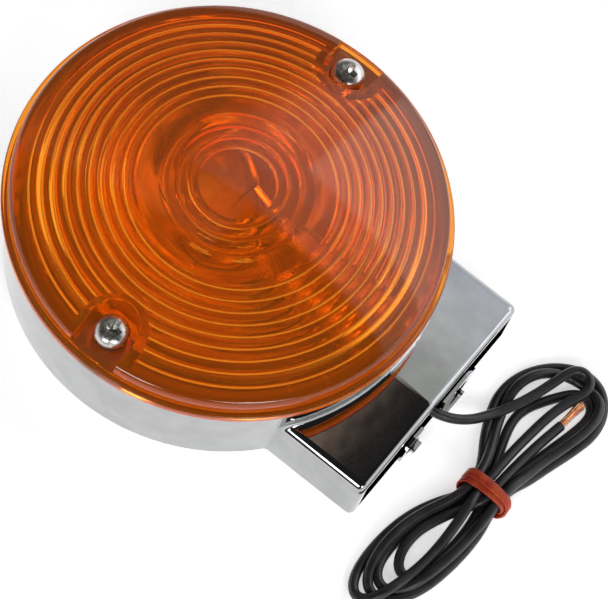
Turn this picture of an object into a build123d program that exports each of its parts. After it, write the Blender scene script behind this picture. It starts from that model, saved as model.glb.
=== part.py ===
"""Round turn signal: die-cast housing with a neck, amber lens, bayonet bulb and lead wire.

Millimetres. +Z is the lens axis, with z = 0 on the flat back of the housing, and +X runs out along the neck.
"""
import math
import os

from build123d import *

os.makedirs("parts", exist_ok=True)


def finish(node, name):
    """Label a finished piece and write its STEP file."""
    node.part.label = name
    export_step(node.part, f"parts/{name}.step")


# Housing bowl
bowl_back_r = 42.4
bowl_rim_r = 43.6
bowl_top_z = 20.6
bowl_wall = 2.2
floor_t = 2.3
back_edge_r = 1.0

# Neck and its mounting boss
neck_width = 52.4
neck_end_x = 54.7
neck_side_z = 13.4
neck_ridge_z = 14.8
neck_ridge_y = -3.0
neck_shoulder_r = 2.2
neck_corner_r = 1.4
neck_wall = 2.0
neck_root_r = 1.2
neck_ridge_r = 8.0
boss_length = 25.4
boss_height = 8.0
boss_z = 5.8
boss_proud = 0.9
boss_gap = 7.0
boss_gap_y = -2.4
boss_hole_spacing = 16.0
boss_hole_y = -0.6
boss_hole_r = 2.1
boss_hole_depth = 9.0
rib_t = 0.9
rib_height = 1.1
rib_z = 3.2
rib_length = 17.0

# Lens
lens_rim_r = 44.45
lens_flange_t = 2.05
lens_side_r = 43.3
lens_taper = 1.2
lens_edge_r = 0.5
lens_shoulder_fillet = 1.6
lens_top_z = 34.4
lens_crown_r = 117.0
lens_wall = 2.2
lens_spigot_r = 40.9
lens_inner_r = 39.6
lens_spigot_depth = 2.8
gasket_t = 0.8
gasket_inset = 0.4

# Lens screws, one at each end of the Y axis
screw_circle_r = 37.0
screw_r = 1.7
screw_head_r = 3.575
screw_head_h = 2.55
screw_length = 12.7
screw_fit = 0.05
screw_clear = 0.25
post_r = 4.2
post_hole_extra = 1.0
seal_t = 1.0
seal_r = 3.4
seal_fit = 0.1
pocket_r = 5.2
pocket_wall = 1.8
pocket_floor_z = 24.3
cross_width = 0.8
cross_length = 3.9
cross_depth = 1.3

# Bulb, on an axis along X
bulb_z = 16.4
bulb_foot_x = 29.3
bulb_length = 50.8
globe_r = 12.7
glass_t = 0.7
cap_r = 7.5
cap_length = 16.0
cap_t = 0.4
glass_neck_r = 7.0
pin_r = 1.0
pin_reach = 8.9
pin_from_foot = 7.5
solder_t = 0.8
bead_t = 1.2
stem_r = 2.2
filament_half = 3.2
filament_r = 0.45
support_r = 0.35
support_seat = 1.5

# Socket and contact
shell_gap = 0.3
shell_t = 0.8
shell_mouth_x = 13.0
press_travel = 1.6
turn_deg = 25.0
slot_gap = 0.3
disc_t = 2.4
button_proud = 0.5
button_r = 1.5
button_head_r = 2.0
ferrule_length = 2.8
ferrule_r = 1.9
ferrule_bore_r = 1.35
lead_in_ferrule = 0.8
spring_space = 3.4
spring_r = 5.2
spring_wire_r = 0.35
spring_turns = 3.0
lead_hole_r = 3.0

# Bracket under the socket
bracket_t = 0.8
bracket_x = 33.2
bracket_half_width = 10.5
bracket_top_z = 24.0
foot_half_width = 5.0
foot_start_x = 19.0
pad_x = 23.5
pad_r = 4.0
pad_top_z = 4.2
bracket_screw_r = 1.45
bracket_screw_head_r = 2.8
bracket_screw_head_h = 1.7
bracket_screw_depth = 3.0
washer_t = 0.5
washer_r = 3.0

# Reflector dish
dish_t = 0.5
dish_floor_r = 13.0
dish_r = 30.0
dish_lip_r = 32.5
dish_rim_z = 16.0
dish_mid_r = 24.5
dish_mid_z = 7.2
dish_slot_x = 12.4
dish_slot_gap = 0.7
rivet_y = 11.0
rivet_r = 1.2
rivet_head_r = 2.0
rivet_head_h = 0.9
rivet_depth = 1.4

# Lead wire, grommet and hank
wire_d = 2.1
lead_z = 7.0
lead_y = -0.7
lead_bend_r = 1.5
grommet_r = 2.6
grommet_flange_r = 3.4
grommet_flange_t = 1.0
grommet_lip_t = 0.5
grommet_room = 0.2
hank_t = 4.4
band_t = 1.1
band_width = 4.6
band_y = -5.8
band_x = 72.2
band_inner_width = 9.4
copper_r = 0.75
copper_length = 7.6
copper_x = 75.8
copper_y = 15.8

# Values that follow from the sizes above
seat_z = bowl_top_z + gasket_t
flange_top_z = seat_z + lens_flange_t
seal_top_z = pocket_floor_z + seal_t
boss_face_x = neck_end_x + boss_proud
shell_inner_r = cap_r + shell_gap
shell_outer_r = shell_inner_r + shell_t
disc_front_x = bulb_foot_x + button_proud
disc_back_x = disc_front_x + disc_t
shell_wall_x = disc_back_x + spring_space
shell_back_x = shell_wall_x + shell_t
pin_x = bulb_foot_x - pin_from_foot
globe_x = bulb_foot_x - bulb_length + globe_r
cap_back_x = bulb_foot_x - solder_t - bead_t
cap_front_x = cap_back_x - cap_length
ferrule_back_x = disc_back_x + ferrule_length
lead_drop_x = ferrule_back_x + press_travel + lead_bend_r + 0.1
wire_r = wire_d / 2
bowl_slope = (bowl_rim_r - bowl_back_r) / bowl_top_z
lead_wall_r = bowl_back_r + bowl_slope * lead_z
grommet_in_x = lead_wall_r - bowl_wall - 0.35
grommet_out_x = lead_wall_r + 0.2
lead_exit_x = grommet_out_x + grommet_flange_t
bulb_axis = Axis((0, 0, bulb_z), (1, 0, 0))
bulb_side = Plane(origin=(0, 0, bulb_z), x_dir=(1, 0, 0), z_dir=(0, -1, 0))


def across_bulb(x):
    """Plane square to the bulb's axis at the given x, facing +X."""
    return Plane(origin=(x, 0, bulb_z), x_dir=(0, 1, 0), z_dir=(1, 0, 0))


def across_neck(x, y, z):
    """Plane square to the neck at the given point, facing +X, with its own x along +Y."""
    return Plane(origin=(x, y, z), x_dir=(0, 1, 0), z_dir=(1, 0, 0))


def neck_section(inset):
    """Points of the neck's section in (y, z), taken in from the outside by one wall."""
    half = neck_width / 2 - inset
    return [
        (-half, inset),
        (half, inset),
        (half, neck_side_z - inset),
        (neck_ridge_y, neck_ridge_z - inset),
        (-half, neck_side_z - inset),
    ]


# ---------------------------------------------------------------- housing
with BuildPart() as housing:
    # Neck, a straight block with a low gabled roof
    with BuildSketch(Plane.YZ):
        with BuildLine():
            Polyline(*neck_section(0), close=True)
        make_face()
    extrude(amount=neck_end_x)
    long_edges = housing.edges().filter_by(Axis.X).group_by(Axis.Z)
    fillet(long_edges[1], radius=neck_shoulder_r)
    end_face = housing.faces().filter_by(Axis.X).sort_by(Axis.X)[-1]
    fillet(end_face.edges().filter_by(Axis.Z), radius=neck_corner_r)
    ridge = housing.edges().filter_by(Axis.X).sort_by(Axis.Z)[-1]
    fillet(ridge, radius=neck_ridge_r)
    # Neck pocket, open at the end
    with BuildSketch(Plane.YZ):
        with BuildLine():
            Polyline(*neck_section(neck_wall), close=True)
        make_face()
    extrude(amount=neck_end_x, mode=Mode.SUBTRACT)
    # Bowl, drawn in over the inner end of the neck
    with BuildSketch(Plane.XZ):
        with BuildLine():
            Polyline((0, 0), (bowl_back_r, 0), (bowl_rim_r, bowl_top_z), (0, bowl_top_z), close=True)
        make_face()
    revolve(axis=Axis.Z)
    # The roof runs into the bowl's wall with a small fillet
    roof_root = housing.edges().filter_by(
        lambda e: neck_side_z - 0.1 < e.center().Z < neck_ridge_z + 0.1
        and bowl_back_r < math.hypot(e.center().X, e.center().Y) < bowl_rim_r + 0.1
        and abs(e.center().Y) < neck_width / 2 - neck_shoulder_r
        and e.geom_type != GeomType.LINE
    )
    fillet(roof_root, radius=neck_root_r)
    # Mounting boss, an obround bar that stands out of the bowl's wall
    with BuildSketch(across_neck(bowl_back_r - bowl_wall, 0, boss_z)):
        SlotOverall(boss_length, boss_height)
    extrude(amount=boss_face_x - bowl_back_r + bowl_wall)
    # Locating rib low on the boss's face
    with BuildSketch(across_neck(boss_face_x, 0, rib_z)):
        Rectangle(rib_length, rib_height)
    extrude(amount=rib_t)
    # Gap for the wire, off the middle of the boss
    with BuildSketch(across_neck(lead_wall_r, boss_gap_y, boss_z)):
        Rectangle(boss_gap, boss_height + 0.2)
    extrude(amount=boss_face_x + rib_t - lead_wall_r, mode=Mode.SUBTRACT)
    # Inside of the bowl
    with BuildSketch(Plane.XZ):
        with BuildLine():
            Polyline(
                (0, floor_t),
                (bowl_back_r - bowl_wall + bowl_slope * floor_t, floor_t),
                (bowl_rim_r - bowl_wall, bowl_top_z),
                (0, bowl_top_z),
                close=True,
            )
        make_face()
    revolve(axis=Axis.Z, mode=Mode.SUBTRACT)
    # Screw posts and the bracket's pad
    with BuildSketch(Plane.XY):
        with Locations((0, screw_circle_r), (0, -screw_circle_r)):
            Circle(post_r)
    extrude(amount=bowl_top_z)
    with BuildSketch(Plane.XY):
        with Locations((pad_x, 0)):
            Circle(pad_r)
    extrude(amount=pad_top_z)
    # Screw holes, blind from above
    with BuildSketch(Plane.XY.offset(seal_top_z - screw_length - post_hole_extra)):
        with Locations((0, screw_circle_r), (0, -screw_circle_r)):
            Circle(screw_r + screw_fit)
    extrude(amount=bowl_top_z, mode=Mode.SUBTRACT)
    with BuildSketch(Plane.XY.offset(pad_top_z - bracket_screw_depth)):
        with Locations((pad_x, 0)):
            Circle(bracket_screw_r)
    extrude(amount=bracket_screw_depth, mode=Mode.SUBTRACT)
    with BuildSketch(Plane.XY.offset(floor_t - rivet_depth)):
        with Locations((0, rivet_y), (0, -rivet_y)):
            Circle(rivet_r)
    extrude(amount=rivet_depth, mode=Mode.SUBTRACT)
    # Tapped holes in the boss, and the wire's hole in the bowl's wall
    with BuildSketch(across_neck(boss_face_x - boss_hole_depth, boss_hole_y, boss_z)):
        with GridLocations(boss_hole_spacing, 0, 2, 1):
            Circle(boss_hole_r)
    extrude(amount=boss_hole_depth + rib_t, mode=Mode.SUBTRACT)
    with BuildSketch(across_neck(lead_drop_x, lead_y, lead_z)):
        Circle(grommet_r)
    extrude(amount=lead_exit_x - lead_drop_x, mode=Mode.SUBTRACT)
    with BuildSketch(across_neck(lead_wall_r, lead_y, lead_z)):
        Circle(grommet_flange_r + grommet_room)
    extrude(amount=lead_exit_x - lead_wall_r, mode=Mode.SUBTRACT)
    # Rounded edge round the back of the bowl
    back_arcs = housing.faces().sort_by(Axis.Z)[0].edges().filter_by(GeomType.CIRCLE)
    fillet(back_arcs.filter_by(lambda e: e.radius > bowl_back_r - 1), radius=back_edge_r)
finish(housing, "housing")

# ---------------------------------------------------------------- lens and its gasket
with BuildPart() as lens_gasket:
    with BuildSketch(Plane.XY.offset(bowl_top_z)):
        Circle(bowl_rim_r - gasket_inset)
        Circle(bowl_rim_r - bowl_wall, mode=Mode.SUBTRACT)
    extrude(amount=gasket_t)
finish(lens_gasket, "lens_gasket")


crown_center_z = lens_top_z - lens_crown_r
with BuildPart() as lens_envelope:
    with BuildSketch(Plane.XZ):
        with BuildLine():
            Polyline(
                (0, seat_z),
                (lens_rim_r, seat_z),
                (lens_rim_r, flange_top_z),
                (lens_side_r, flange_top_z),
                (lens_side_r - lens_taper, lens_top_z),
                (0, lens_top_z),
                close=True,
            )
        make_face()
    revolve(axis=Axis.Z)
    flange_edges = lens_envelope.edges().filter_by(
        lambda e: e.geom_type == GeomType.CIRCLE and abs(e.radius - lens_rim_r) < 0.01
    )
    fillet(flange_edges, radius=lens_edge_r)
    # The crowned face
    with Locations((0, 0, crown_center_z)):
        Sphere(lens_crown_r, mode=Mode.INTERSECT)
    shoulder = lens_envelope.edges().filter_by(
        lambda e: e.geom_type == GeomType.CIRCLE and e.radius < lens_side_r and e.center().Z > flange_top_z
    )
    fillet(shoulder, radius=lens_shoulder_fillet)

# Hollow inside, parallel to the crowned face and short of the two screw pockets
with BuildPart() as lens_hollow:
    with BuildSketch(Plane.XY.offset(seat_z)):
        Circle(lens_inner_r)
    extrude(amount=lens_top_z - seat_z)
    with Locations((0, 0, crown_center_z)):
        Sphere(lens_crown_r - lens_wall, mode=Mode.INTERSECT)
    with BuildSketch(Plane.XY.offset(seat_z)):
        for side in (1, -1):
            with Locations((0, side * screw_circle_r)):
                Circle(pocket_r + pocket_wall)
            with Locations((0, side * (screw_circle_r + lens_rim_r) / 2)):
                Rectangle(2 * (pocket_r + pocket_wall), lens_rim_r - screw_circle_r)
    extrude(amount=lens_top_z - seat_z, mode=Mode.SUBTRACT)

with BuildPart() as lens:
    add(lens_envelope.part)
    add(lens_hollow.part, mode=Mode.SUBTRACT)
    # Spigot that drops into the bowl, with gaps for the screw posts
    with BuildSketch(Plane.XY.offset(seat_z)):
        Circle(lens_spigot_r)
        Circle(lens_inner_r, mode=Mode.SUBTRACT)
        for side in (1, -1):
            with Locations((0, side * screw_circle_r)):
                Rectangle(2 * (post_r + 1.2), 2 * (lens_rim_r - screw_circle_r), mode=Mode.SUBTRACT)
    extrude(amount=-lens_spigot_depth)
    # Pockets open upwards and outwards, with a clear hole for each screw
    with BuildSketch(Plane.XY.offset(pocket_floor_z)):
        for side in (1, -1):
            with Locations((0, side * screw_circle_r)):
                Circle(pocket_r)
            with Locations((0, side * (screw_circle_r + lens_rim_r) / 2)):
                Rectangle(2 * pocket_r, lens_rim_r - screw_circle_r)
    extrude(amount=lens_top_z - pocket_floor_z, mode=Mode.SUBTRACT)
    with BuildSketch(Plane.XY.offset(seat_z)):
        with Locations((0, screw_circle_r), (0, -screw_circle_r)):
            Circle(screw_r + screw_clear)
    extrude(amount=pocket_floor_z - seat_z, mode=Mode.SUBTRACT)
finish(lens, "lens")

# ---------------------------------------------------------------- lens screws and their seals
for side, letter in ((1, "a"), (-1, "b")):
    screw_y = side * screw_circle_r
    with BuildPart() as screw_seal:
        with BuildSketch(Plane((0, screw_y, pocket_floor_z))):
            Circle(seal_r)
            Circle(screw_r + seal_fit, mode=Mode.SUBTRACT)
        extrude(amount=seal_t)
    finish(screw_seal, f"screw_seal_{letter}")

    with BuildPart() as lens_screw:
        with BuildSketch(Plane((0, screw_y, seal_top_z))):
            Circle(screw_head_r)
        extrude(amount=screw_head_h)
        fillet(lens_screw.faces().sort_by(Axis.Z)[-1].edges(), radius=screw_head_h / 2)
        with BuildSketch(Plane((0, screw_y, seal_top_z))):
            Circle(screw_r)
        extrude(amount=-screw_length)
        chamfer(lens_screw.faces().sort_by(Axis.Z)[0].edges(), length=screw_r / 2)
        with BuildSketch(Plane((0, screw_y, seal_top_z + screw_head_h))):
            for turn in (0, 90):
                with Locations(Rotation(0, 0, turn)):
                    Rectangle(cross_length, cross_width)
        extrude(amount=-cross_depth, mode=Mode.SUBTRACT)
    finish(lens_screw, f"lens_screw_{letter}")

# ---------------------------------------------------------------- reflector
with BuildPart() as reflector:
    with BuildSketch(Plane.XZ):
        with BuildLine():
            Line((0, floor_t), (dish_floor_r, floor_t))
            ThreePointArc((dish_floor_r, floor_t), (dish_mid_r, dish_mid_z), (dish_r, dish_rim_z))
            Polyline(
                (dish_r, dish_rim_z),
                (dish_lip_r, dish_rim_z),
                (dish_lip_r, dish_rim_z + dish_t),
                (dish_r - dish_t, dish_rim_z + dish_t),
            )
            ThreePointArc(
                (dish_r - dish_t, dish_rim_z + dish_t),
                (dish_mid_r - 0.35, dish_mid_z + 0.36),
                (dish_floor_r, floor_t + dish_t),
            )
            Polyline((dish_floor_r, floor_t + dish_t), (0, floor_t + dish_t), (0, floor_t))
        make_face()
    revolve(axis=Axis.Z)
    # Slot for the socket, and two rivet holes in the floor
    with BuildSketch(Plane.XY):
        with Locations(((dish_slot_x + dish_lip_r) / 2 + 1, 0)):
            Rectangle(dish_lip_r - dish_slot_x + 2, 2 * (shell_outer_r + dish_slot_gap))
        with Locations((0, rivet_y), (0, -rivet_y)):
            Circle(rivet_r)
    extrude(amount=bowl_top_z, mode=Mode.SUBTRACT)
finish(reflector, "reflector")

with BuildPart() as reflector_rivets:
    with BuildSketch(Plane.XY.offset(floor_t - rivet_depth)):
        with Locations((0, rivet_y), (0, -rivet_y)):
            Circle(rivet_r)
    extrude(amount=rivet_depth + dish_t)
    with BuildSketch(Plane.XY.offset(floor_t + dish_t)):
        with Locations((0, rivet_y), (0, -rivet_y)):
            Circle(rivet_head_r)
    extrude(amount=rivet_head_h)
    fillet(reflector_rivets.faces().group_by(Axis.Z)[-1].edges(), radius=rivet_head_h / 2)
finish(reflector_rivets, "reflector_rivets")

# ---------------------------------------------------------------- socket, bracket and contact
slot_half = pin_r + slot_gap
slot_margin = math.degrees(slot_half / cap_r)
with BuildPart() as socket_shell:
    with BuildSketch(across_bulb(shell_mouth_x)):
        Circle(shell_outer_r)
    extrude(amount=shell_back_x - shell_mouth_x)
    with BuildSketch(across_bulb(shell_mouth_x)):
        Circle(shell_inner_r)
    extrude(amount=shell_wall_x - shell_mouth_x, mode=Mode.SUBTRACT)
    with BuildSketch(across_bulb(shell_wall_x)):
        Circle(lead_hole_r)
    extrude(amount=shell_t, mode=Mode.SUBTRACT)
    # Two bayonet slots: a run in from the mouth, then a run round to the pin's seat
    for start in (0, 180):
        around = math.radians(start - slot_margin)
        wedge = Plane(
            origin=(0, 0, bulb_z),
            x_dir=(1, 0, 0),
            z_dir=(0, -math.sin(around), math.cos(around)),
        )
        with BuildSketch(wedge):
            with Locations((pin_x + press_travel / 2, shell_inner_r + shell_t / 2)):
                Rectangle(press_travel + 2 * slot_half, 3 * shell_t)
        revolve(axis=bulb_axis, revolution_arc=turn_deg + 2 * slot_margin, mode=Mode.SUBTRACT)
        run = math.radians(start + turn_deg)
        run_in = Plane(
            origin=(shell_mouth_x, 0, bulb_z),
            x_dir=(0, math.cos(run), math.sin(run)),
            z_dir=(1, 0, 0),
        )
        with BuildSketch(run_in):
            with Locations((shell_inner_r + shell_t / 2, 0)):
                Rectangle(3 * shell_t, 2 * slot_half)
        extrude(amount=pin_x + slot_half - shell_mouth_x, mode=Mode.SUBTRACT)
finish(socket_shell, "socket_shell")

with BuildPart() as socket_bracket:
    with BuildSketch(Plane.XY.offset(pad_top_z)):
        with Locations(((foot_start_x + bracket_x + bracket_t) / 2, 0)):
            Rectangle(bracket_x + bracket_t - foot_start_x, 2 * foot_half_width)
        with Locations((pad_x, 0)):
            Circle(bracket_screw_r + 0.2, mode=Mode.SUBTRACT)
    extrude(amount=bracket_t)
    with BuildSketch(across_neck(bracket_x, 0, 0)):
        with Locations((0, (pad_top_z + bracket_top_z) / 2)):
            Rectangle(2 * bracket_half_width, bracket_top_z - pad_top_z)
        with Locations((0, bulb_z)):
            Circle(shell_outer_r, mode=Mode.SUBTRACT)
        with Locations((0, bulb_z + shell_outer_r)):
            Rectangle(2 * foot_half_width, 2 * shell_outer_r, mode=Mode.SUBTRACT)
    extrude(amount=bracket_t)
finish(socket_bracket, "socket_bracket")

washer_z = pad_top_z + bracket_t
with BuildPart() as bracket_washer:
    with BuildSketch(Plane((pad_x, 0, washer_z))):
        Circle(washer_r)
        Circle(bracket_screw_r + 0.1, mode=Mode.SUBTRACT)
        with PolarLocations(washer_r, 10):
            Rectangle(1.0, 0.7, mode=Mode.SUBTRACT)
    extrude(amount=washer_t)
finish(bracket_washer, "bracket_washer")

with BuildPart() as bracket_screw:
    with BuildSketch(Plane((pad_x, 0, washer_z + washer_t))):
        Circle(bracket_screw_head_r)
    extrude(amount=bracket_screw_head_h)
    fillet(bracket_screw.faces().sort_by(Axis.Z)[-1].edges(), radius=bracket_screw_head_h / 2)
    with BuildSketch(Plane((pad_x, 0, pad_top_z - bracket_screw_depth))):
        Circle(bracket_screw_r)
    extrude(amount=bracket_screw_depth + bracket_t + washer_t)
    with BuildSketch(Plane((pad_x, 0, washer_z + washer_t + bracket_screw_head_h))):
        for turn in (0, 90):
            with Locations(Rotation(0, 0, turn)):
                Rectangle(3.0, 0.7)
    extrude(amount=-0.9, mode=Mode.SUBTRACT)
finish(bracket_screw, "bracket_screw")

with BuildPart() as contact_disc:
    with BuildSketch(across_bulb(disc_front_x)):
        Circle(shell_inner_r - shell_gap)
        Circle(button_r, mode=Mode.SUBTRACT)
    extrude(amount=disc_t)
    chamfer(contact_disc.faces().filter_by(Axis.X).edges().filter_by(
        lambda e: e.radius > button_r + 1), length=0.3)
finish(contact_disc, "contact_disc")

with BuildPart() as contact_button:
    with BuildSketch(across_bulb(bulb_foot_x)):
        Circle(button_head_r)
    extrude(amount=button_proud)
    with BuildSketch(across_bulb(disc_front_x)):
        Circle(button_r)
    extrude(amount=disc_t)
    with BuildSketch(across_bulb(disc_back_x)):
        Circle(ferrule_r)
    extrude(amount=ferrule_length)
    with BuildSketch(across_bulb(disc_back_x)):
        Circle(ferrule_bore_r)
    extrude(amount=ferrule_length, mode=Mode.SUBTRACT)
finish(contact_button, "contact_button")

spring_start_x = disc_back_x + spring_wire_r
spring_height = spring_space - 2 * spring_wire_r
with BuildPart() as contact_spring:
    with BuildLine():
        coil = Helix(
            pitch=spring_height / spring_turns,
            height=spring_height,
            radius=spring_r,
            center=(spring_start_x, 0, bulb_z),
            direction=(1, 0, 0),
        )
    with BuildSketch(Plane(origin=coil @ 0, z_dir=coil % 0)):
        Circle(spring_wire_r)
    sweep(path=coil, is_frenet=True)
finish(contact_spring, "contact_spring")

# ---------------------------------------------------------------- bulb
neck_join_x = globe_x + 0.73 * globe_r
neck_join_r = math.sqrt(globe_r**2 - (neck_join_x - globe_x) ** 2)
inner_globe_r = globe_r - glass_t
inner_join_r = math.sqrt(inner_globe_r**2 - (neck_join_x - globe_x) ** 2)
glass_foot_x = cap_front_x + 0.4 * cap_length
glass_neck_x = cap_front_x - 1.5
with BuildPart() as bulb_glass:
    with BuildSketch(bulb_side):
        with BuildLine():
            ThreePointArc((globe_x - globe_r, 0), (globe_x, globe_r), (neck_join_x, neck_join_r))
            Polyline(
                (neck_join_x, neck_join_r),
                (glass_neck_x, glass_neck_r),
                (glass_foot_x, glass_neck_r),
                (glass_foot_x, glass_neck_r - glass_t),
                (glass_neck_x, glass_neck_r - glass_t),
                (neck_join_x, inner_join_r),
            )
            ThreePointArc(
                (neck_join_x, inner_join_r),
                (globe_x, inner_globe_r),
                (globe_x - inner_globe_r, 0),
            )
            Line((globe_x - inner_globe_r, 0), (globe_x - globe_r, 0))
        make_face()
    revolve(axis=bulb_axis)
finish(bulb_glass, "bulb_glass")

with BuildPart() as bulb_cap:
    with BuildSketch(across_bulb(cap_front_x)):
        Circle(cap_r)
        Circle(cap_r - cap_t, mode=Mode.SUBTRACT)
    extrude(amount=cap_length)
finish(bulb_cap, "bulb_cap")

with BuildPart() as bulb_pins:
    for side in (1, -1):
        with BuildSketch(Plane(origin=(pin_x, side * cap_r, bulb_z), x_dir=(1, 0, 0), z_dir=(0, side, 0))):
            Circle(pin_r)
        extrude(amount=pin_reach - cap_r)
finish(bulb_pins, "bulb_pins")

with BuildPart() as bulb_bead:
    with BuildSketch(bulb_side):
        with BuildLine():
            Polyline(
                (cap_back_x - bead_t, 0),
                (cap_back_x - bead_t, cap_r - cap_t),
                (cap_back_x, cap_r - cap_t),
                (cap_back_x + bead_t, cap_r / 2),
                (cap_back_x + bead_t, 0),
                close=True,
            )
        make_face()
    revolve(axis=bulb_axis)
finish(bulb_bead, "bulb_bead")

with BuildPart() as bulb_contact:
    with BuildSketch(across_bulb(cap_back_x + bead_t)):
        Circle(button_head_r)
    extrude(amount=solder_t)
    fillet(bulb_contact.faces().sort_by(Axis.X)[-1].edges(), radius=solder_t / 2)
finish(bulb_contact, "bulb_contact")

stem_top_x = globe_x + 0.82 * globe_r
with BuildPart() as bulb_stem:
    with BuildSketch(bulb_side):
        with BuildLine():
            Polyline(
                (stem_top_x, 0),
                (stem_top_x, stem_r * 0.7),
                (glass_neck_x, stem_r),
                (glass_foot_x, glass_neck_r - glass_t),
                (glass_foot_x + glass_t, glass_neck_r - glass_t),
                (glass_foot_x + glass_t, 0),
                close=True,
            )
        make_face()
    revolve(axis=bulb_axis)
finish(bulb_stem, "bulb_stem")

with BuildPart() as filament_supports:
    for side in (1, -1):
        with BuildLine() as support_line:
            Line((stem_top_x + support_seat, side * stem_r / 3, bulb_z), (globe_x, side * filament_half, bulb_z))
        with BuildSketch(Plane(origin=support_line.line @ 0, z_dir=support_line.line % 0)):
            Circle(support_r)
        sweep(path=support_line.line)
finish(filament_supports, "filament_supports")

with BuildPart() as bulb_filament:
    with BuildSketch(Plane(origin=(globe_x - filament_r - support_r, 0, bulb_z), z_dir=(0, 1, 0))):
        Circle(filament_r)
    extrude(amount=filament_half + support_r, both=True)
finish(bulb_filament, "bulb_filament")

# ---------------------------------------------------------------- grommet and wire
with BuildPart() as wire_grommet:
    with BuildSketch(across_neck(grommet_in_x, lead_y, lead_z)):
        Circle(grommet_r)
    extrude(amount=grommet_out_x - grommet_in_x)
    with BuildSketch(across_neck(grommet_out_x, lead_y, lead_z)):
        Circle(grommet_flange_r)
    extrude(amount=grommet_flange_t)
    start_x = grommet_in_x - grommet_lip_t
    with BuildSketch(across_neck(start_x, lead_y, lead_z)):
        Circle(grommet_flange_r)
    extrude(amount=grommet_lip_t)
    with BuildSketch(across_neck(start_x, lead_y, lead_z)):
        Circle(wire_r)
    extrude(amount=lead_exit_x - start_x, mode=Mode.SUBTRACT)
finish(wire_grommet, "wire_grommet")

with BuildPart() as inner_lead:
    with BuildLine() as inner_route:
        FilletPolyline(
            (ferrule_back_x - lead_in_ferrule, 0, bulb_z),
            (lead_drop_x, 0, bulb_z),
            (lead_drop_x, lead_y, lead_z),
            (lead_exit_x, lead_y, lead_z),
            radius=lead_bend_r,
        )
    with BuildSketch(Plane(origin=inner_route.line @ 0, z_dir=inner_route.line % 0)):
        Circle(wire_r)
    sweep(path=inner_route.line)
finish(inner_lead, "inner_lead")

# Free wire from the grommet to the hank, laid by hand
lead_route = [
    (lead_exit_x, lead_y, lead_z),
    (49.8, lead_y, lead_z),
    (56.0, -0.4, 6.6),
    (60.6, 3.3, 4.8),
    (63.6, 8.6, 3.3),
]


def corner_radii(points, share=0.45):
    """The largest radius that each corner's two runs allow."""
    radii = []
    for before, corner, after in zip(points, points[1:], points[2:]):
        first = Vector(*corner) - Vector(*before)
        second = Vector(*after) - Vector(*corner)
        turn = math.radians(first.get_angle(second))
        radii.append(share * min(first.length, second.length) / math.tan(turn / 2))
    return radii


lead_radii = corner_radii(lead_route)
print("lead wire radii", [round(r, 1) for r in lead_radii])
with BuildPart() as lead_wire:
    with BuildLine() as lead_path:
        FilletPolyline(*lead_route, radius=lead_radii)
    with BuildSketch(Plane(origin=lead_path.line @ 0, z_dir=lead_path.line % 0)):
        Circle(wire_r)
    sweep(path=lead_path.line)
lead_length = sum(edge.length for edge in lead_path.edges())
print("lead wire length", round(lead_length, 2), "section x length", round(math.pi * wire_r**2 * lead_length, 2),
      "volume", round(lead_wire.part.volume, 2))
finish(lead_wire, "lead_wire")

# Rubber band, a flat obround loop that stands on the table round the hank's waist
band_height = hank_t + 2 * band_t
band_plane = Plane(origin=(band_x, band_y + band_width / 2, band_height / 2), x_dir=(1, 0, 0), z_dir=(0, -1, 0))
with BuildPart() as rubber_band:
    with BuildSketch(band_plane):
        SlotOverall(band_inner_width + 2 * band_t, band_height)
        SlotOverall(band_inner_width, hank_t, mode=Mode.SUBTRACT)
    extrude(amount=band_width)
finish(rubber_band, "rubber_band")

# The hank: the outer shape of the folded wire, drawn in where the band holds it
hank_outline = [
    (67.6, -3.2), (65.9, 0.4), (63.0, 7.4), (60.9, 14.0), (61.6, 21.4), (65.8, 28.4), (73.6, 31.4),
    (80.0, 28.2), (83.0, 20.6), (80.0, 9.4), (77.0, -2.8), (77.2, -8.4), (77.8, -15.0), (76.0, -25.6),
    (71.6, -35.4), (65.0, -39.4), (61.6, -33.4), (61.0, -24.4), (63.4, -15.4), (67.4, -8.6),
]
with BuildPart() as lead_hank:
    with BuildSketch(Plane.XY):
        with BuildLine():
            Polyline(*hank_outline, close=True)
        make_face()
        fillet(vertices(), radius=1.5)
    extrude(amount=hank_t)
    # At the waist the wire stands on the band
    with BuildSketch(band_plane):
        Rectangle(band_inner_width + 4 * band_t, 2 * band_height)
        SlotOverall(band_inner_width, hank_t, mode=Mode.SUBTRACT)
    extrude(amount=band_width, mode=Mode.SUBTRACT)
    with BuildSketch(band_plane):
        SlotOverall(band_inner_width, hank_t)
    extrude(amount=band_width)
    # Notch where the bare end of the wire lies open
    with BuildSketch(Plane.XY.offset(hank_t / 2)):
        with Locations((copper_x, copper_y + copper_length / 2)):
            Rectangle(wire_d, copper_length)
    extrude(amount=hank_t / 2, mode=Mode.SUBTRACT)
finish(lead_hank, "lead_hank")

with BuildPart() as copper_strands:
    copper_z = hank_t / 2 + copper_r
    with BuildSketch(Plane(origin=(copper_x, copper_y, copper_z), x_dir=(1, 0, 0), z_dir=(0, 1, 0))):
        Circle(copper_r)
    extrude(amount=copper_length)
finish(copper_strands, "copper_strands")
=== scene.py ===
"""Looks for the round turn signal: amber lens, chrome housing, bayonet bulb and a hank of lead wire."""
import math

import bmesh
import bpy
from mathutils import Matrix, Vector


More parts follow.
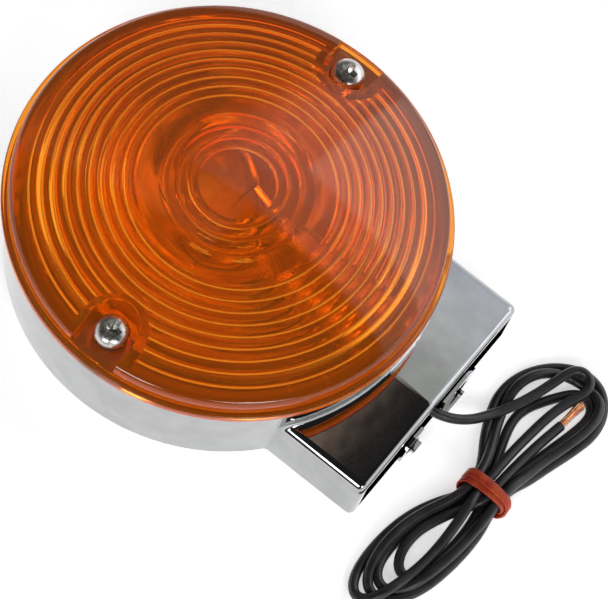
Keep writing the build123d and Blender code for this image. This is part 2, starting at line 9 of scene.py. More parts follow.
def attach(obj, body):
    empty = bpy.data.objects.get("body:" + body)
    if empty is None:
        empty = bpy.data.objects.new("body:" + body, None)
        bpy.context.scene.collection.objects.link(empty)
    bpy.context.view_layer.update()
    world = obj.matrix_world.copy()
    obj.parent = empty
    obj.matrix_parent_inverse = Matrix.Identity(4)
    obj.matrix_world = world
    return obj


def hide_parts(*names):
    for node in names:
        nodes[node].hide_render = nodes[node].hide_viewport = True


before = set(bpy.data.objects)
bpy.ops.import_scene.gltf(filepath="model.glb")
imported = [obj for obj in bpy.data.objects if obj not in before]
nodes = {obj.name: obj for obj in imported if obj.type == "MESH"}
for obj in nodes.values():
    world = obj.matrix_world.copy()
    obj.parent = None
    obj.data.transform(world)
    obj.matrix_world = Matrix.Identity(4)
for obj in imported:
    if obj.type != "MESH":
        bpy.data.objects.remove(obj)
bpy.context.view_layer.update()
MM = 0.001

# ---------------------------------------------------------------- camera
CAMERA_AT = Vector((98.93, -240.55, 533.74)) * MM
CAMERA_AIM = Vector((19.52, 4.53, 0.0)) * MM
CAMERA_ROLL = math.radians(21.69)
CAMERA_LENS = 174.85
SENSOR_WIDTH = 36.0


def make_camera():
    """The photograph's viewpoint, rolled about its own line of sight."""
    data = bpy.data.cameras.new("camera")
    data.sensor_fit = "HORIZONTAL"
    data.sensor_width = SENSOR_WIDTH
    data.lens = CAMERA_LENS
    data.clip_start = 0.01
    data.clip_end = 10.0
    camera = bpy.data.objects.new("camera", data)
    bpy.context.scene.collection.objects.link(camera)
    back = (CAMERA_AT - CAMERA_AIM).normalized()
    level = Vector((0, 0, 1)).cross(back).normalized()
    upright = back.cross(level)
    right = math.cos(CAMERA_ROLL) * level + math.sin(CAMERA_ROLL) * upright
    up = back.cross(right)
    camera.matrix_world = Matrix((
        (right.x, up.x, back.x, CAMERA_AT.x),
        (right.y, up.y, back.y, CAMERA_AT.y),
        (right.z, up.z, back.z, CAMERA_AT.z),
        (0, 0, 0, 1),
    ))
    bpy.context.scene.camera = camera


make_camera()


# ---------------------------------------------------------------- helpers
def new_object(name, data):
    """A linked object for a mesh or a curve."""
    obj = bpy.data.objects.new(name, data)
    bpy.context.scene.collection.objects.link(obj)
    return obj


def new_material(name):
    """A node material and its principled shader."""
    material = bpy.data.materials.new(name)
    material.use_nodes = True
    shader = material.node_tree.nodes["Principled BSDF"]
    return material, shader


def assign(obj, material):
    """The one material of a piece or a CAD node."""
    obj.data.materials.clear()
    obj.data.materials.append(material)


# ---------------------------------------------------------------- lead wire
WIRE_D = 2.1

# Control points in mm, first as in part.py from the grommet to the hank, then four turns through the
# band to the bare end. A strand's middle is 1.05 above the table, and about 3.1 where it lies on another.
lead_route = [
    (44.008, -0.7, 7.0), (49.8, -0.7, 7.0), (56.0, -0.4, 6.6), (60.6, 3.3, 4.8), (63.6, 8.6, 3.3),
]
hank_route = [
    # up over the outer strands to the tight fold, and back down to the band
    (65.6, 12.6, 3.15), (67.3, 17.0, 2.9), (68.8, 21.8, 3.2), (70.0, 26.4, 3.4), (71.7, 28.2, 3.4),
    (73.9, 28.1, 3.4), (75.2, 26.4, 3.3), (75.0, 24.0, 3.2), (73.6, 20.6, 3.15), (72.5, 16.2, 3.1),
    (71.9, 11.2, 3.1), (71.4, 5.6, 3.5), (71.2, 0.4, 4.1), (71.15, -3.6, 4.25), (71.15, -7.4, 4.5),
    # first lower turn, laid over the others
    (71.4, -10.8, 5.6), (71.8, -15.4, 4.4), (71.9, -20.6, 3.0), (71.6, -25.4, 3.1), (70.8, -30.0, 3.2),
    (69.6, -34.4, 3.25), (68.4, -37.2, 2.8), (66.8, -38.8, 2.0), (64.8, -38.6, 1.2), (63.1, -36.6, 1.05),
    (62.2, -33.0, 1.05), (62.0, -28.4, 1.05), (62.4, -23.4, 1.05), (63.6, -18.0, 1.05), (66.0, -12.8, 1.3),
    (69.0, -8.6, 2.05), (69.05, -3.6, 2.15),
    # outer upper turn
    (67.7, 0.2, 1.6), (65.3, 4.2, 1.05), (63.2, 8.8, 1.05), (61.9, 13.4, 1.05), (62.2, 18.2, 1.05),
    (64.1, 22.8, 1.05), (67.6, 26.9, 1.05), (72.2, 29.4, 1.05), (77.2, 28.8, 1.05), (80.6, 25.0, 1.05),
    (81.7, 19.8, 1.05), (80.4, 13.8, 1.05), (78.6, 8.0, 1.05), (77.1, 2.4, 1.3), (75.6, -1.4, 2.1),
    (75.35, -4.2, 2.15), (75.35, -8.4, 2.15),
    # second lower turn
    (76.2, -12.8, 1.3), (76.2, -18.4, 1.05), (75.6, -24.0, 1.05), (74.5, -29.0, 1.05), (72.4, -33.4, 1.05),
    (69.6, -36.2, 1.05), (66.5, -36.2, 1.05), (64.3, -33.8, 1.9), (63.4, -29.6, 2.8), (63.5, -25.2, 3.0),
    (64.2, -20.8, 3.1), (65.6, -16.4, 3.2), (67.6, -12.2, 3.5), (69.0, -8.4, 4.2), (69.05, -3.6, 4.25),
    # second upper turn, under the fold
    (68.4, 0.2, 3.5), (66.9, 4.4, 2.3), (65.3, 8.9, 1.05), (64.0, 12.8, 1.9), (63.6, 17.2, 2.8),
    (64.9, 21.4, 2.8), (67.6, 24.8, 2.0), (71.2, 26.6, 1.15), (74.8, 27.0, 1.15), (78.5, 25.8, 2.6),
    (80.2, 22.6, 3.1), (80.1, 18.2, 3.15), (78.9, 13.0, 3.15), (77.4, 7.8, 3.15), (76.3, 2.4, 3.4),
    (75.5, -1.6, 4.2), (75.35, -4.4, 4.25), (75.35, -8.4, 4.25),
    # third lower turn
    (75.4, -12.8, 3.5), (75.1, -18.4, 3.0), (74.3, -24.0, 2.9), (73.2, -28.6, 2.7), (71.6, -31.9, 1.5),
    (69.2, -33.9, 1.05), (66.7, -33.5, 1.05), (65.0, -31.2, 1.05), (64.5, -27.4, 1.05), (64.8, -23.2, 1.05),
    (65.9, -18.4, 1.05), (68.0, -13.2, 1.3), (70.9, -8.6, 2.05), (71.15, -3.6, 2.15),
    # inner upper turn
    (70.4, 0.4, 1.6), (69.1, 4.4, 1.05), (67.8, 8.4, 1.05), (67.2, 12.2, 1.05), (68.0, 15.6, 1.05),
    (69.6, 18.6, 1.05), (71.2, 21.2, 1.05), (72.9, 23.6, 1.05), (74.8, 25.1, 1.05), (77.0, 24.9, 1.05),
    (78.6, 23.1, 1.05), (78.8, 20.2, 1.05), (77.9, 15.6, 1.05), (76.7, 10.8, 1.05), (75.4, 5.4, 1.05),
    (74.2, 0.4, 1.6), (73.3, -3.6, 2.15), (73.25, -8.2, 2.15),
    # inner lower turn and the end
    (74.0, -13.0, 1.3), (73.9, -18.4, 1.05), (73.2, -23.4, 1.05), (72.7, -27.0, 1.05), (71.6, -28.7, 1.05),
    (69.9, -29.3, 1.05), (68.2, -28.7, 1.3), (67.1, -27.0, 2.0), (66.6, -24.8, 2.7), (66.7, -21.6, 3.1),
    (67.6, -18.4, 3.2),
    (69.6, -13.8, 3.4), (71.5, -10.4, 3.35), (73.1, -7.2, 4.2), (73.25, -3.6, 4.25), (73.5, 0.6, 3.9),
    (73.9, 5.2, 3.4), (74.6, 11.0, 3.1), (75.5, 16.0, 2.9),
]


def nurbs_tube(name, points, radius):
    """One open NURBS spline with a round section of the given radius in mm.

    The points' own radii carry the change to metres, because Blender grows a curve's box by them.
    """
    data = bpy.data.curves.new(name, "CURVE")
    data.dimensions = "3D"
    data.bevel_depth = radius
    data.bevel_resolution = 5
    data.use_fill_caps = True
    data.resolution_u = 10
    spline = data.splines.new("NURBS")
    spline.points.add(len(points) - 1)
    for point, place in zip(spline.points, points):
        point.co = (*(Vector(place) * MM), 1.0)
        point.radius = MM
    spline.order_u = 3
    spline.use_endpoint_u = True
    return new_object(name, data)


lead_cord = nurbs_tube("lead_cord", lead_route + hank_route, WIRE_D / 2)
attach(lead_cord, "base")
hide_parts("lead_wire", "lead_hank")

# Bare strands that fan out of the wire's end
STRAND_R = 0.17
copper_data = bpy.data.curves.new("copper_fan", "CURVE")
copper_data.dimensions = "3D"
copper_data.bevel_depth = STRAND_R
copper_data.bevel_resolution = 3
copper_data.use_fill_caps = True
STRANDS = 21
FAN_R = 0.72
for index in range(STRANDS):
    around = 2.4 * index
    ring = FAN_R * math.sqrt(index / STRANDS)
    side = ring * math.cos(around)
    rise = ring * math.sin(around)
    reach = 6.6 + 0.8 * math.sin(5.1 * index)
    splay = 0.95 + 0.25 * (0.5 + 0.5 * math.sin(3.3 * index))
    strand = [
        (75.2 + side, 14.6, 2.95 + rise),
        (75.5 + side, 16.4, 2.9 + rise),
        (75.75 + side * splay, 16.4 + 0.5 * reach, 2.55 + rise * 0.8),
        (76.0 + side * (splay + 0.5), 16.2 + reach, 2.1 + rise * splay * 0.7),
    ]
    spline = copper_data.splines.new("NURBS")
    spline.points.add(len(strand) - 1)
    for point, place in zip(spline.points, strand):
        point.co = (*(Vector(place) * MM), 1.0)
        point.radius = MM
    spline.order_u = 3
    spline.use_endpoint_u = True
copper_fan = new_object("copper_fan", copper_data)
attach(copper_fan, "base")
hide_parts("copper_strands")


# ---------------------------------------------------------------- mesh helpers
def mesh_object(name, build):
    """A linked object for a finished bmesh."""
    mesh = bpy.data.meshes.new(name)
    bmesh.ops.recalc_face_normals(build, faces=build.faces)
    build.to_mesh(mesh)
    build.free()
    return new_object(name, mesh)


def smooth(obj, angle):
    """Smooth shading with the edges sharper than the angle kept."""
    obj.data.shade_smooth()
    obj.data.set_sharp_from_angle(angle=math.radians(angle))


def revolve(name, profile, segments):
    """A closed (r, z) outline turned round the Z axis."""
    build = bmesh.new()
    rings = []
    for r, z in profile:
        if r < 1e-6:
            rings.append([build.verts.new((0, 0, z * MM))])
            continue
        rings.append([
            build.verts.new((
                r * MM * math.cos(2 * math.pi * k / segments),
                r * MM * math.sin(2 * math.pi * k / segments),
                z * MM,
            ))
            for k in range(segments)
        ])
    for first, second in zip(rings, rings[1:] + rings[:1]):
        if len(first) == 1 and len(second) == 1:
            continue
        for k in range(segments):
            after = (k + 1) % segments
            corners = [first[k % len(first)], second[k % len(second)],
                       second[after % len(second)], first[after % len(first)]]
            distinct = list(dict.fromkeys(corners))
            build.faces.new(distinct)
    return mesh_object(name, build)


def prism(name, outline, z_low, z_high):
    """An upright block over a closed (x, y) outline."""
    build = bmesh.new()
    low = [build.verts.new((x * MM, y * MM, z_low * MM)) for x, y in outline]
    high = [build.verts.new((x * MM, y * MM, z_high * MM)) for x, y in outline]
    build.faces.new(low[::-1])
    build.faces.new(high)
    for k in range(len(outline)):
        after = (k + 1) % len(outline)
        build.faces.new((low[k], low[after], high[after], high[k]))
    return mesh_object(name, build)


def combine(target, tool, operation):
    """Boolean of two solids, kept in the first, with the second thrown away."""
    modifier = target.modifiers.new("combine", "BOOLEAN")
    modifier.operation = operation
    modifier.solver = "MANIFOLD"
    modifier.object = tool
    graph = bpy.context.evaluated_depsgraph_get()
    result = bpy.data.meshes.new_from_object(target.evaluated_get(graph))
    target.modifiers.clear()
    old = target.data
    target.data = result
    bpy.data.meshes.remove(old)
    spare = tool.data
    bpy.data.objects.remove(tool)
    bpy.data.meshes.remove(spare)


def circle_points(x, y, r, start, end, count):
    """Points along an arc, angles in degrees."""
    return [
        (x + r * math.cos(math.radians(start + (end - start) * k / count)),
         y + r * math.sin(math.radians(start + (end - start) * k / count)))
        for k in range(count + 1)
    ]


# ---------------------------------------------------------------- lens
CROWN_R = 117.0
CROWN_TOP = 34.4
CROWN_CENTER_Z = CROWN_TOP - CROWN_R
LENS_WALL = 2.2
SEAT_Z = 21.4
FLANGE_TOP_Z = 23.45
RIM_R = 44.45
SIDE_R = 43.3
SIDE_TAPER = 1.2
EDGE_R = 0.5
SHOULDER_R = 1.6
INNER_R = 39.6
SPIGOT_R = 40.9
SPIGOT_Z = 18.6
SCREW_Y = 37.0
POCKET_R = 5.2
POCKET_WALL = 1.8
POCKET_FLOOR_Z = 24.3
LENS_SEGMENTS = 288

# Rings moulded into the underside of the crown
RING_RADII = [7.4, 9.5, 12.0, 15.0, 19.3, 21.5, 23.7, 25.9, 28.1, 30.3, 32.5, 34.7, 36.9, 39.3]
BULLSEYE_DEPTH = 0.9
RING_DEPTH = 0.42
RING_DEPTH_PER_R = 0.012
RING_STEPS = 8

# Cuts for the screws, with tools that reach past the lens's edge
SCREW_HOLE_R = 1.95
GAP_HALF = 5.4
GAP_START = 29.55
WALL_REACH = 46.0
POCKET_REACH = 47.0
CROWN_STEPS = 30


def crown_z(r, inset=0.0):
    """Height of the crown's sphere, or of one a wall further in."""
    return CROWN_CENTER_Z + math.sqrt((CROWN_R - inset) ** 2 - r * r)


def shoulder_arc(count=7):
    """The rounded corner between the crown and the lens's side."""
    side_run = Vector((-SIDE_TAPER, CROWN_TOP - FLANGE_TOP_Z)).normalized()
    inward = Vector((-side_run.y, side_run.x))
    base = Vector((SIDE_R, FLANGE_TOP_Z)) + SHOULDER_R * inward
    center = Vector((0, CROWN_CENTER_Z))
    gap = base - center
    half = gap.dot(side_run)
    along = -half + math.sqrt(half * half - gap.length_squared + (CROWN_R - SHOULDER_R) ** 2)
    middle = base + along * side_run
    start = math.atan2(-inward.y, -inward.x)
    away = middle - center
    end = math.atan2(away.y, away.x)
    return [
        (middle.x + SHOULDER_R * math.cos(start + (end - start) * k / count),
         middle.y + SHOULDER_R * math.sin(start + (end - start) * k / count))
        for k in range(count + 1)
    ]


def outer_outline(z_low):
    """The lens's outside from the seat to the crown's top, as (r, z)."""
    points = [(RIM_R - EDGE_R, z_low)]
    for start, z in ((-90, z_low + EDGE_R), (0, FLANGE_TOP_Z - EDGE_R)):
        points += circle_points(RIM_R - EDGE_R, z, EDGE_R, start, start + 90, 5)[1 if start else 0:]
    points.append((SIDE_R, FLANGE_TOP_Z))
    arc = shoulder_arc()
    points += arc
    last_r = arc[-1][0]
    for k in range(1, CROWN_STEPS):
        r = last_r * (1 - k / CROWN_STEPS)
        points.append((r, crown_z(r)))
    points.append((0, CROWN_TOP))
    return points[1:]


def ringed_underside():
    """The crown's inner face with its bullseye and rings, from the axis outwards."""
    points = [(0, crown_z(0, LENS_WALL) - BULLSEYE_DEPTH)]
    first = RING_RADII[0]
    for k in range(1, RING_STEPS + 1):
        r = first * k / RING_STEPS
        points.append((r, crown_z(r, LENS_WALL) - BULLSEYE_DEPTH * (1 - (k / RING_STEPS) ** 2)))
    for inner, outer in zip(RING_RADII, RING_RADII[1:]):
        deep = RING_DEPTH + RING_DEPTH_PER_R * inner
        for k in range(1, RING_STEPS + 1):
            r = inner + (outer - inner) * k / RING_STEPS
            points.append((r, crown_z(r, LENS_WALL) - deep * math.sin(math.pi * k / RING_STEPS)))
    points.append((INNER_R, crown_z(INNER_R, LENS_WALL)))
    return points


def pocket_outline(side, grow, reach):
    """A round-ended slot from the screw's axis out past the lens's edge."""
    half = POCKET_R + grow
    arc = circle_points(0, side * SCREW_Y, half, 180 if side > 0 else 0, 360 if side > 0 else 180, 28)
    return arc + ([(half, reach), (-half, reach)] if side > 0 else [(-half, -reach), (half, -reach)])


lens_body = revolve(
    "lens_body",
    ringed_underside()
    + [(INNER_R, SPIGOT_Z), (SPIGOT_R, SPIGOT_Z), (SPIGOT_R, SEAT_Z)]
    + outer_outline(SEAT_Z),
    LENS_SEGMENTS,
)
for side in (1, -1):
    wall = prism("wall", pocket_outline(side, POCKET_WALL, WALL_REACH), SEAT_Z, CROWN_TOP + 1)
    envelope = revolve("envelope", [(0, SEAT_Z + 0.001)] + outer_outline(SEAT_Z + 0.001), LENS_SEGMENTS)
    combine(wall, envelope, "INTERSECT")
    combine(lens_body, wall, "UNION")
    pocket = prism("pocket", pocket_outline(side, 0, POCKET_REACH), POCKET_FLOOR_Z, CROWN_TOP + 2)
    combine(lens_body, pocket, "DIFFERENCE")
    hole = circle_points(0, side * SCREW_Y, SCREW_HOLE_R, 0, 360, 36)[:-1]
    combine(lens_body, prism("hole", hole, SPIGOT_Z - 1, POCKET_FLOOR_Z + 0.5), "DIFFERENCE")
    near, far = side * GAP_START, side * WALL_REACH
    gap = [(-GAP_HALF, near), (GAP_HALF, near), (GAP_HALF, far), (-GAP_HALF, far)][::side]
    combine(lens_body, prism("gap", gap, SPIGOT_Z - 1, SEAT_Z - 0.001), "DIFFERENCE")
smooth(lens_body, 25.0)
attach(lens_body, "lens_unit")
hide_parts("lens")


# ---------------------------------------------------------------- lens screws
SCREW_SEAT_Z = 25.3
HEAD_R = 3.575
HEAD_H = 2.55
SHANK_R = 1.7
THREAD_PITCH = 1.27
THREAD_DEPTH = 0.36
SHANK_LENGTH = 12.7
SHANK_POINT = 0.9
HEAD_STEPS = 120


def head_mesh():
    """A pan head with a rolled edge, seated at z = 0 round the axis; its cross recess is cut afterwards."""
    outline = [(SHANK_R * 0.8, 0.0), (HEAD_R - 0.25, 0.0)]
    outline += circle_points(HEAD_R - 0.25, 0.25, 0.25, -80, 0, 4)
    outline += [(HEAD_R, 0.7)]
    dome = [(HEAD_R * math.cos(t) ** 0.62, 0.7 + (HEAD_H - 0.7) * math.sin(t) ** 1.25)
            for t in (math.radians(90 * k / 14) for k in range(1, 14))]
    outline += dome + [(0, HEAD_H)]
    closed = [(0, 0.0)] + outline
    return revolve("head", [(r, z + SCREW_SEAT_Z) for r, z in closed], HEAD_STEPS)


def recess_cutter():
    """Four arms that narrow and rise towards their ends, as a cross driver leaves them."""
    build = bmesh.new()
    top = SCREW_SEAT_Z + HEAD_H + 0.4
    levels = ((top, 2.15, 0.62), (SCREW_SEAT_Z + HEAD_H - 0.55, 1.75, 0.52), (SCREW_SEAT_Z + 0.95, 0.85, 0.32))
    rings = []
    for z, reach, half in levels:
        corner = half * 1.35
        ring = []
        for quarter in range(4):
            c, d = math.cos(quarter * math.pi / 2), math.sin(quarter * math.pi / 2)
            for x, y in ((reach, -half), (reach, half), (corner, corner)):
                ring.append(build.verts.new(((x * c - y * d) * MM, (x * d + y * c) * MM, z * MM)))
        rings.append(ring)
    for first, second in zip(rings, rings[1:]):
        for k in range(len(first)):
            after = (k + 1) % len(first)
            build.faces.new((first[k], first[after], second[after], second[k]))
    build.faces.new(rings[0][::-1])
    tip = build.verts.new((0, 0, (SCREW_SEAT_Z + 0.55) * MM))
    last = rings[-1]
    for k in range(len(last)):
        build.faces.new((last[k], last[(k + 1) % len(last)], tip))
    return mesh_object("recess", build)


def thread_mesh():
    """The shank with its thread, from under the head to the point."""
    build = bmesh.new()
    around = 32
    rows = 116
    rings = []
    for row in range(rows + 1):
        depth = SHANK_LENGTH * row / rows
        point = min(1.0, (SHANK_LENGTH - depth) / SHANK_POINT + 0.45)
        plain = 1.0 if depth > 1.0 else 0.0
        ring = []
        for k in range(around):
            phase = (depth / THREAD_PITCH + k / around) % 1.0
            crest = abs(2 * phase - 1)
            r = (SHANK_R - plain * THREAD_DEPTH * min(1.0, 1.25 * crest)) * point
            turn = 2 * math.pi * k / around
            ring.append(build.verts.new((r * math.cos(turn) * MM, r * math.sin(turn) * MM,
                                         (SCREW_SEAT_Z + 0.3 - depth) * MM)))
        rings.append(ring)
    for first, second in zip(rings, rings[1:]):
        for k in range(around):
            after = (k + 1) % around
            build.faces.new((first[k], first[after], second[after], second[k]))
    build.faces.new(rings[0][::-1])
    build.faces.new(rings[-1])
    return mesh_object("thread", build)


screws = []
for side, letter in ((1, "a"), (-1, "b")):
    screw = head_mesh()
    combine(screw, recess_cutter(), "DIFFERENCE")
    combine(screw, thread_mesh(), "UNION")
    screw.name = f"pan_screw_{letter}"
    turn = Matrix.Rotation(math.radians(4 * side), 4, "Z")
    screw.data.transform(Matrix.Translation((0, side * SCREW_Y * MM, 0)) @ turn)
    smooth(screw, 35.0)
    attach(screw, f"screw_{letter}")
    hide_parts(f"lens_screw_{letter}")
    screws.append(screw)


# ---------------------------------------------------------------- rubber band
BAND_X = 72.2
BAND_MID_Z = 3.3
BAND_STRAIGHT = 2.5
BAND_INNER = 2.2
BAND_HALF_THICK = 0.30
BAND_SECTION = ((-1, -0.55), (-0.8, -1), (0, -1), (0.8, -1), (1, -0.55),
                (1, 0.55), (0.8, 1), (0, 1), (-0.8, 1), (-1, 0.55))


def band_section(turn):
    """Place, outward direction and lie of the doubled band, with turn from 0 to 2."""
    angle = 2 * math.pi * turn
    out_x = -math.cos(angle)
    out_z = math.sin(angle)
    offset = 0.55 + 0.33 * math.sin(math.pi * turn)
    reach = BAND_INNER + offset
    x = BAND_X + out_x * reach + BAND_STRAIGHT * max(-1.0, min(1.0, 1.6 * out_x))
    z = BAND_MID_Z + out_z * reach
    y = -6.1 + 0.45 * out_z + 0.8 * math.cos(math.pi * turn)
    return Vector((x, y, z)), Vector((out_x, 0, out_z))


band_build = bmesh.new()
BAND_STEPS = 176
band_rings = []
for step in range(BAND_STEPS):
    turn = 2 * step / BAND_STEPS
    place, outward = band_section(turn)
    ahead, _ = band_section(turn + 0.004)
    behind, _ = band_section(turn - 0.004)
    run = (ahead - behind).normalized()
    across = run.cross(outward).normalized()
    outward = across.cross(run).normalized()
    half_width = 0.98 + 0.12 * math.sin(3 * math.pi * turn + 0.6)
    ring = []
    for u, v in BAND_SECTION:
        crease = 0.05 * math.sin(11 * turn + 2 * u)
        point = place + across * (u * half_width) + outward * (v * BAND_HALF_THICK + crease)
        ring.append(band_build.verts.new(point * MM))
    band_rings.append(ring)
for first, second in zip(band_rings, band_rings[1:] + band_rings[:1]):
    for k in range(len(first)):
        after = (k + 1) % len(first)
        band_build.faces.new((first[k], first[after], second[after], second[k]))
waist_band = mesh_object("waist_band", band_build)
smooth(waist_band, 60.0)
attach(waist_band, "base")
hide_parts("rubber_band")


# ---------------------------------------------------------------- materials
def node(tree, kind, **settings):
    """A new shader node with its settings made."""
    made = tree.nodes.new(kind)
    for key, value in settings.items():
        setattr(made, key, value)
    return made


def noise(tree, scale, detail=4.0, roughness=0.55):
    """Noise in the object's own metres."""
    place = node(tree, "ShaderNodeTexCoord")
    made = node(tree, "ShaderNodeTexNoise")
    made.inputs["Scale"].default_value = scale
    made.inputs["Detail"].default_value = detail
    made.inputs["Roughness"].default_value = roughness
    tree.links.new(place.outputs["Object"], made.inputs["Vector"])
    return made


def remap(tree, source, low, high, at=(0.35, 0.65)):
    """A range of values from a 0 to 1 texture."""
    made = node(tree, "ShaderNodeMapRange")
    made.inputs["From Min"].default_value = at[0]
    made.inputs["From Max"].default_value = at[1]
    made.inputs["To Min"].default_value = low
    made.inputs["To Max"].default_value = high
    tree.links.new(source, made.inputs["Value"])
    return made


def two_tone(tree, source, first, second, at=(0.4, 0.6)):
    """A blend of two colours by a texture."""
    made = node(tree, "ShaderNodeValToRGB")
    made.color_ramp.elements[0].position = at[0]
    made.color_ramp.elements[0].color = (*first, 1)
    made.color_ramp.elements[1].position = at[1]
    made.color_ramp.elements[1].color = (*second, 1)
    tree.links.new(source, made.inputs["Fac"])
    return made


def surface(name, first, second, metallic=0.0, rough=(0.3, 0.5), tone_scale=300.0, grain_scale=2500.0,
            grain=0.02, wave=0.0, wave_scale=60.0, ior=1.5):
    """A material with its colour, gloss and fine surface varied by noise."""
    material, shader = new_material(name)
    tree = material.node_tree
    shader.inputs["Metallic"].default_value = metallic
    shader.inputs["IOR"].default_value = ior
    tone = noise(tree, tone_scale, 5.0)
    color = two_tone(tree, tone.outputs["Fac"], first, second)
    tree.links.new(color.outputs["Color"], shader.inputs["Base Color"])
    fine = noise(tree, grain_scale, 3.0)
    gloss = remap(tree, fine.outputs["Fac"], *rough)
    tree.links.new(gloss.outputs["Result"], shader.inputs["Roughness"])
    bump = node(tree, "ShaderNodeBump")
    bump.inputs["Strength"].default_value = 1.0
    bump.inputs["Distance"].default_value = grain * MM
    tree.links.new(fine.outputs["Fac"], bump.inputs["Height"])
    if wave:
        slow = noise(tree, wave_scale, 2.0)
        swell = node(tree, "ShaderNodeBump")
        swell.inputs["Strength"].default_value = 1.0
        swell.inputs["Distance"].default_value = wave * MM
        tree.links.new(slow.outputs["Fac"], swell.inputs["Height"])
        tree.links.new(swell.outputs["Normal"], bump.inputs["Normal"])
    tree.links.new(bump.outputs["Normal"], shader.inputs["Normal"])
    return material, shader


def metal(name, first, second, rough, **more):
    """A surface that is all metal."""
    return surface(name, first, second, metallic=1.0, rough=rough, **more)[0]


def clear(name, color, roughness, ior, weight=1.0):
    """A see-through material."""
    material, shader = surface(name, color, tuple(0.96 * c for c in color), rough=(roughness, roughness * 1.5),
                               grain=0.0004, grain_scale=900.0, ior=ior, tone_scale=80.0)
    shader.inputs["Transmission Weight"].default_value = weight
    return material


chrome = metal("chrome_casting", (0.40, 0.405, 0.41), (0.45, 0.455, 0.46), (0.03, 0.07), grain=0.0006,
               grain_scale=4000.0, tone_scale=150.0, wave=0.02, wave_scale=90.0)
amber = clear("amber_plastic", (1.0, 0.34, 0.02), 0.045, 1.49, 0.94)
amber_shader = amber.node_tree.nodes["Principled BSDF"]
# Painted glow: the unlit lens gets a faint orange emission of its own, standing in for light that passes
# through it.
amber_shader.inputs["Emission Color"].default_value = (1.0, 0.20, 0.015, 1)
amber_shader.inputs["Emission Strength"].default_value = 0.05
glass = clear("clear_glass", (0.98, 0.99, 0.99), 0.0, 1.45)
steel = metal("stainless", (0.50, 0.49, 0.46), (0.66, 0.65, 0.62), (0.22, 0.36), grain=0.006, tone_scale=600.0)
bright = metal("bright_sheet", (0.86, 0.86, 0.84), (0.93, 0.92, 0.90), (0.10, 0.2), grain=0.002, wave=0.03,
               wave_scale=120.0)
plated = metal("plated_steel", (0.55, 0.53, 0.46), (0.68, 0.65, 0.56), (0.25, 0.4), grain=0.004)
brass = metal("contact_brass", (0.72, 0.52, 0.22), (0.82, 0.62, 0.28), (0.22, 0.36), grain=0.003)
cap_metal = metal("cap_brass", (0.66, 0.60, 0.44), (0.80, 0.75, 0.60), (0.2, 0.34), grain=0.003)
spring = metal("spring_steel", (0.35, 0.35, 0.36), (0.48, 0.48, 0.49), (0.25, 0.4), grain=0.003)
tin = metal("solder", (0.55, 0.56, 0.57), (0.70, 0.71, 0.72), (0.3, 0.5), grain=0.02, tone_scale=900.0)
wolfram = metal("tungsten", (0.16, 0.16, 0.17), (0.26, 0.26, 0.27), (0.35, 0.5), grain=0.01)
copper = metal("copper", (0.55, 0.20, 0.08), (0.95, 0.52, 0.28), (0.18, 0.34), tone_scale=900.0, grain=0.004)
phenolic = surface("brown_phenolic", (0.10, 0.035, 0.018), (0.17, 0.065, 0.03), rough=(0.45, 0.6), grain=0.01,
                   tone_scale=900.0)[0]
rubber = surface("black_rubber", (0.018, 0.018, 0.018), (0.032, 0.031, 0.030), rough=(0.55, 0.75),
                 grain=0.02)[0]
bead = surface("dark_bead", (0.02, 0.015, 0.02), (0.05, 0.03, 0.05), rough=(0.15, 0.3), grain=0.004)[0]
wire = surface("black_wire", (0.010, 0.010, 0.011), (0.022, 0.022, 0.023), rough=(0.30, 0.42), grain=0.006,
               grain_scale=1800.0, tone_scale=200.0)[0]
band = surface("band_rubber", (0.36, 0.022, 0.004), (0.52, 0.07, 0.012), rough=(0.38, 0.55), grain=0.03,
               tone_scale=420.0, grain_scale=1400.0)[0]
table, table_shader = surface("table", (0.90, 0.90, 0.90), (0.92, 0.92, 0.92), rough=(0.6, 0.7),
                              grain=0.0005)
table_shader.inputs["Emission Color"].default_value = (1, 1, 1, 1)
table_shader.inputs["Emission Strength"].default_value = 0.55

BY_SLOT = {
    "chrome_casting": chrome, "amber_plastic": amber, "black_rubber": rubber, "stainless": steel,
    "bright_sheet": bright, "plated_steel": plated, "brown_phenolic": phenolic, "contact_brass": brass,
    "spring_steel": spring, "clear_glass": glass, "cap_brass": cap_metal, "dark_bead": bead, "solder": tin,
    "tungsten": wolfram, "black_wire": wire, "band_rubber": band, "copper": copper,
}
SLOT_NODES = {
    "chrome_casting": ["housing"],
    "black_rubber": ["lens_gasket", "screw_seal_a", "screw_seal_b", "wire_grommet"],
    "bright_sheet": ["reflector", "reflector_rivets"],
    "plated_steel": ["socket_shell", "socket_bracket", "bracket_washer", "bracket_screw"],
    "brown_phenolic": ["contact_disc"],
    "contact_brass": ["contact_button"],
    "spring_steel": ["contact_spring", "filament_supports"],
    "clear_glass": ["bulb_glass", "bulb_stem"],
    "cap_brass": ["bulb_cap", "bulb_pins"],
    "dark_bead": ["bulb_bead"],
    "solder": ["bulb_contact"],
    "tungsten": ["bulb_filament"],
    "black_wire": ["inner_lead"],
}
for slot, names in SLOT_NODES.items():
    for name in names:
        assign(nodes[name], BY_SLOT[slot])
assign(lead_cord, wire)
assign(copper_fan, copper)
assign(waist_band, band)
assign(lens_body, amber)
for screw in screws:
    assign(screw, steel)

# ---------------------------------------------------------------- floor and light
floor_build = bmesh.new()
FLOOR_Z = -0.0001
floor_corners = ((-2, -2), (2, -2), (2, 2), (-2, 2))
floor_build.faces.new([floor_build.verts.new((x, y, FLOOR_Z)) for x, y in floor_corners])
floor = mesh_object("floor", floor_build)
assign(floor, table)

world = bpy.data.worlds.new("studio")
bpy.context.scene.world = world
world.use_nodes = True
sky = world.node_tree
background = sky.nodes["Background"]


def math_node(kind, first, second):
    """One sum, product or other calculation on values of the sky."""
    made = node(sky, "ShaderNodeMath", operation=kind)
    for socket, value in zip(made.inputs, (first, second)):
        if isinstance(value, (int, float)):
            socket.default_value = value
        else:
            sky.links.new(value, socket)
    return made.outputs["Value"]


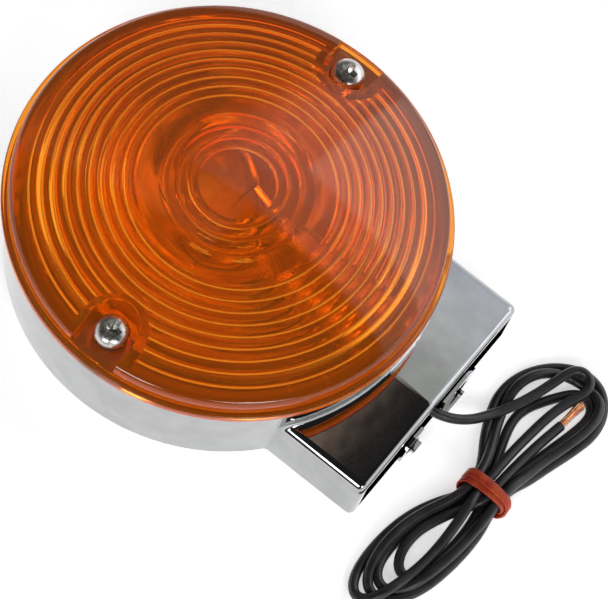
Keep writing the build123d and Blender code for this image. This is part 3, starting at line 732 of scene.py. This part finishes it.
def ramp(value, start, end):
    """0 at start, 1 at end, smooth between them."""
    made = node(sky, "ShaderNodeMapRange", interpolation_type="SMOOTHSTEP")
    made.inputs["From Min"].default_value = start
    made.inputs["From Max"].default_value = end
    sky.links.new(value, made.inputs["Value"])
    return made.outputs["Result"]


direction = node(sky, "ShaderNodeTexCoord")
split = node(sky, "ShaderNodeSeparateXYZ")
sky.links.new(direction.outputs["Generated"], split.inputs["Vector"])
height = math_node("MAXIMUM", split.outputs["Z"], 0.02)
tan_x = math_node("DIVIDE", split.outputs["X"], height)
tan_y = math_node("DIVIDE", split.outputs["Y"], height)


def window(low_x, high_x, low_y, high_y, soft):
    """A soft-edged rectangle of sky, in tangents from the zenith."""
    sides = []
    for value, low, high in ((tan_x, low_x, high_x), (tan_y, low_y, high_y)):
        rise = ramp(value, low - soft, low + soft)
        fall = ramp(value, high + soft, high - soft)
        sides.append(math_node("MULTIPLY", rise, fall))
    return math_node("MULTIPLY", *sides)


def lay(below, mask, color):
    """One colour laid over the sky so far, where the mask is 1."""
    made = node(sky, "ShaderNodeMix", data_type="RGBA")
    first, second = [socket for socket in made.inputs if socket.type == "RGBA"]
    factor = [socket for socket in made.inputs if socket.type == "VALUE"][0]
    sky.links.new(mask, factor)
    if isinstance(below, tuple):
        first.default_value = (*below, 1)
    else:
        sky.links.new(below, first)
    second.default_value = (*color, 1)
    return [socket for socket in made.outputs if socket.type == "RGBA"][0]


# A white tent, and what is laid over it: edges in x, edges in y, softness, colour
TENT = (1.0, 1.0, 1.0)
PATCHES = [
    (-1.6, 1.8, -9.0, 0.44, 0.04, (0.022, 0.022, 0.023)),  # dark side towards the camera
    (-3.0, -0.102, 0.18, 0.44, 0.008, (0.33, 0.24, 0.18)),  # brown strip
    (-6.0, 6.0, 0.44, 0.605, 0.01, (0.62, 0.63, 0.60)),  # grey strip
    (-6.0, 6.0, 0.625, 3.0, 0.02, (0.78, 0.82, 0.90)),  # bluish far side
    (-6.0, -0.35, 0.30, 3.0, 0.15, (0.10, 0.10, 0.10)),  # dark left of it
    (-0.05, 3.5, 0.76, 3.0, 0.02, (1.9, 1.9, 1.95)),  # large soft box
    (-0.20, 0.40, -2.0, -1.1, 0.05, (9.0, 9.0, 9.0)),  # two small lamps
    (0.75, 1.5, -1.0, -0.5, 0.04, (9.0, 9.0, 9.0)),
]
sky_color = TENT
for *edges, color in PATCHES:
    sky_color = lay(sky_color, window(*edges), color)
sky.links.new(sky_color, background.inputs["Color"])
background.inputs["Strength"].default_value = 1.0
bpy.context.scene.view_settings.view_transform = "Standard"
